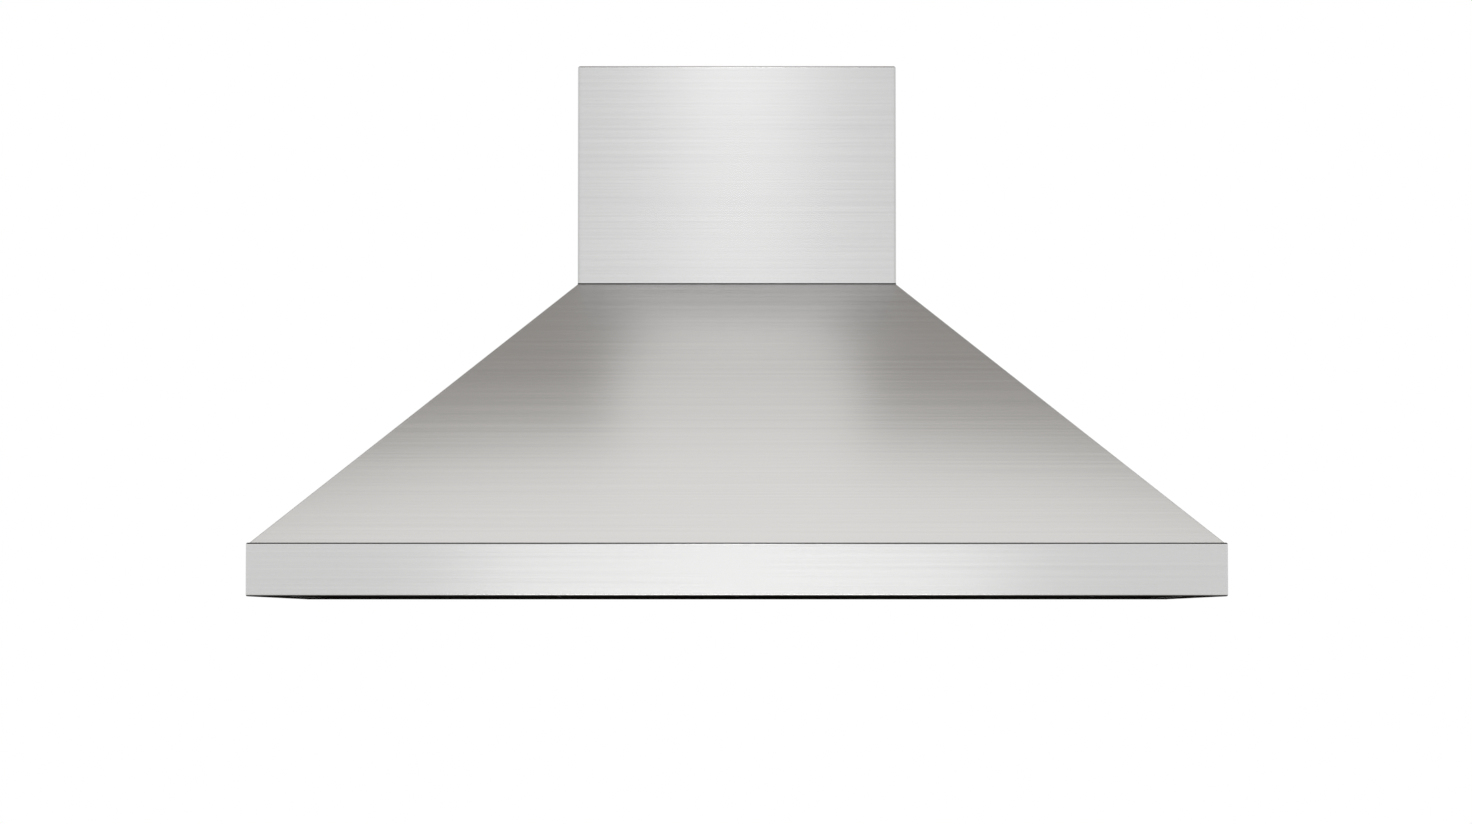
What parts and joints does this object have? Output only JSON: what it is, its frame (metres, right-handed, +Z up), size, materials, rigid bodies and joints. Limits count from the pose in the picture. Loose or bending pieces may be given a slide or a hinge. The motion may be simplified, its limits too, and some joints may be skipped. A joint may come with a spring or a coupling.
{
  "type": "chimney range hood",
  "caption": "Wall-mounted chimney range hood: pyramid canopy with a straight band, duct cover, tilt-down baffle filters, centrifugal blower, lamps and push buttons.",
  "frame": {"origin": "centre of the four wall-fixing holes, on the wall plane", "axes": "+Z up, +Y into the wall, +X to the right seen from the front"},
  "size_m": [0.914, 0.6, 0.532],
  "materials": {
    "casing_steel": "horizontally brushed stainless steel",
    "panel_steel": "brushed stainless steel, satin",
    "galvanised": "zinc-coated sheet, dull",
    "filter_steel": "bright stainless steel",
    "blower_sheet": "zinc-coated sheet",
    "wheel_metal": "plain aluminium",
    "shaft_steel": "ground steel",
    "motor_shell": "dark paint",
    "gasket_rubber": "matt",
    "lens_glass": "frosted",
    "lamp_metal": "cast, satin",
    "bezel_metal": "satin",
    "button_metal": "satin dark caps",
    "board": "green board",
    "black_plastic": "matt",
    "screw_steel": "bright"
  },
  "bodies": {
    "casing": {"fascia_band": "casing_steel", "canopy_skin": "casing_steel", "back_panel": "galvanised", "flue_cover": "casing_steel", "flue_bracket": "galvanised", "front_panel": "panel_steel", "side_panel_left": "panel_steel", "side_panel_right": "panel_steel", "panel_rivets": "screw_steel", "grease_trough": "panel_steel", "cup_runners": "panel_steel", "pivot_lugs": "panel_steel", "blower_plate": "galvanised", "sheet_screws": "screw_steel", "scroll_wrapper": "blower_sheet", "scroll_side_left": "blower_sheet", "scroll_side_right": "blower_sheet", "inlet_ring_left": "blower_sheet", "inlet_ring_right": "blower_sheet", "motor": "motor_shell", "motor_bracket": "galvanised", "collar_gasket": "gasket_rubber", "duct_collar": "galvanised", "damper_rod": "shaft_steel", "lamp_bezel_left": "bezel_metal", "lamp_bezel_right": "bezel_metal", "lamp_lens_left": "lens_glass", "lamp_lens_right": "lens_glass", "lamp_housing_left": "lamp_metal", "lamp_housing_right": "lamp_metal", "button_bezel": "bezel_metal", "button_board": "board", "junction_box": "galvanised", "junction_cover": "galvanised", "cable_gland": "black_plastic", "lamp_driver": "black_plastic", "capacitor": "black_plastic"},
    "fan": {"wheel_disc": "wheel_metal", "wheel_blades": "wheel_metal", "fan_shaft": "shaft_steel"},
    "flap_left": {"flap_left": "galvanised"},
    "flap_right": {"flap_right": "galvanised"},
    "cup": {"grease_cup": "panel_steel"},
    "filter_left": {"filter_frame_left": "filter_steel", "filter_baffles_left": "filter_steel", "filter_handle_left": "shaft_steel"},
    "latch_left": {"filter_latch_left": "filter_steel"},
    "filter_centre": {"filter_frame_centre": "filter_steel", "filter_baffles_centre": "filter_steel", "filter_handle_centre": "shaft_steel"},
    "latch_centre": {"filter_latch_centre": "filter_steel"},
    "filter_right": {"filter_frame_right": "filter_steel", "filter_baffles_right": "filter_steel", "filter_handle_right": "shaft_steel"},
    "latch_right": {"filter_latch_right": "filter_steel"},
    "button_power": {"button_power": "button_metal"},
    "button_lamp": {"button_lamp": "button_metal"},
    "button_low": {"button_low": "button_metal"},
    "button_medium": {"button_medium": "button_metal"},
    "button_high": {"button_high": "button_metal"}
  },
  "joints": [
    {"name": "fan_spin", "type": "hinge", "parent": "casing", "child": "fan", "pos_m": [0, -0.213, 0.027], "axis": [1, 0, 0], "continuous": true},
    {"name": "flap_left_swing", "type": "hinge", "parent": "casing", "child": "flap_left", "pos_m": [0, -0.152, 0.1605], "axis": [0, 1, 0], "range_deg": [0, 80]},
    {"name": "flap_right_swing", "type": "hinge", "parent": "casing", "child": "flap_right", "pos_m": [0, -0.152, 0.1605], "axis": [0, -1, 0], "range_deg": [0, 80]},
    {"name": "cup_slide", "type": "slide", "parent": "casing", "child": "cup", "axis": [1, 0, 0], "range_m": [0, 0.125]},
    {"name": "filter_left_swing", "type": "hinge", "parent": "casing", "child": "filter_left", "pos_m": [-0.27333, -0.092, -0.131], "axis": [1, 0, 0], "range_deg": [0, 75]},
    {"name": "latch_left_slide", "type": "slide", "parent": "filter_left", "child": "latch_left", "axis": [0, 0.9976, -0.0698], "range_m": [0, 0.01], "stiffness_N_per_m": 200, "springref_m": -0.005},
    {"name": "filter_centre_swing", "type": "hinge", "parent": "casing", "child": "filter_centre", "pos_m": [0, -0.092, -0.131], "axis": [1, 0, 0], "range_deg": [0, 75]},
    {"name": "latch_centre_slide", "type": "slide", "parent": "filter_centre", "child": "latch_centre", "axis": [0, 0.9976, -0.0698], "range_m": [0, 0.01], "stiffness_N_per_m": 200, "springref_m": -0.005},
    {"name": "filter_right_swing", "type": "hinge", "parent": "casing", "child": "filter_right", "pos_m": [0.27333, -0.092, -0.131], "axis": [1, 0, 0], "range_deg": [0, 75]},
    {"name": "latch_right_slide", "type": "slide", "parent": "filter_right", "child": "latch_right", "axis": [0, 0.9976, -0.0698], "range_m": [0, 0.01], "stiffness_N_per_m": 200, "springref_m": -0.005},
    {"name": "button_power_push", "type": "slide", "parent": "casing", "child": "button_power", "axis": [0, 0, 1], "range_m": [0, 0.0015], "stiffness_N_per_m": 300, "springref_m": -0.002},
    {"name": "button_lamp_push", "type": "slide", "parent": "casing", "child": "button_lamp", "axis": [0, 0, 1], "range_m": [0, 0.0015], "stiffness_N_per_m": 300, "springref_m": -0.002},
    {"name": "button_low_push", "type": "slide", "parent": "casing", "child": "button_low", "axis": [0, 0, 1], "range_m": [0, 0.0015], "stiffness_N_per_m": 300, "springref_m": -0.002},
    {"name": "button_medium_push", "type": "slide", "parent": "casing", "child": "button_medium", "axis": [0, 0, 1], "range_m": [0, 0.0015], "stiffness_N_per_m": 300, "springref_m": -0.002},
    {"name": "button_high_push", "type": "slide", "parent": "casing", "child": "button_high", "axis": [0, 0, 1], "range_m": [0, 0.0015], "stiffness_N_per_m": 300, "springref_m": -0.002}
  ]
}
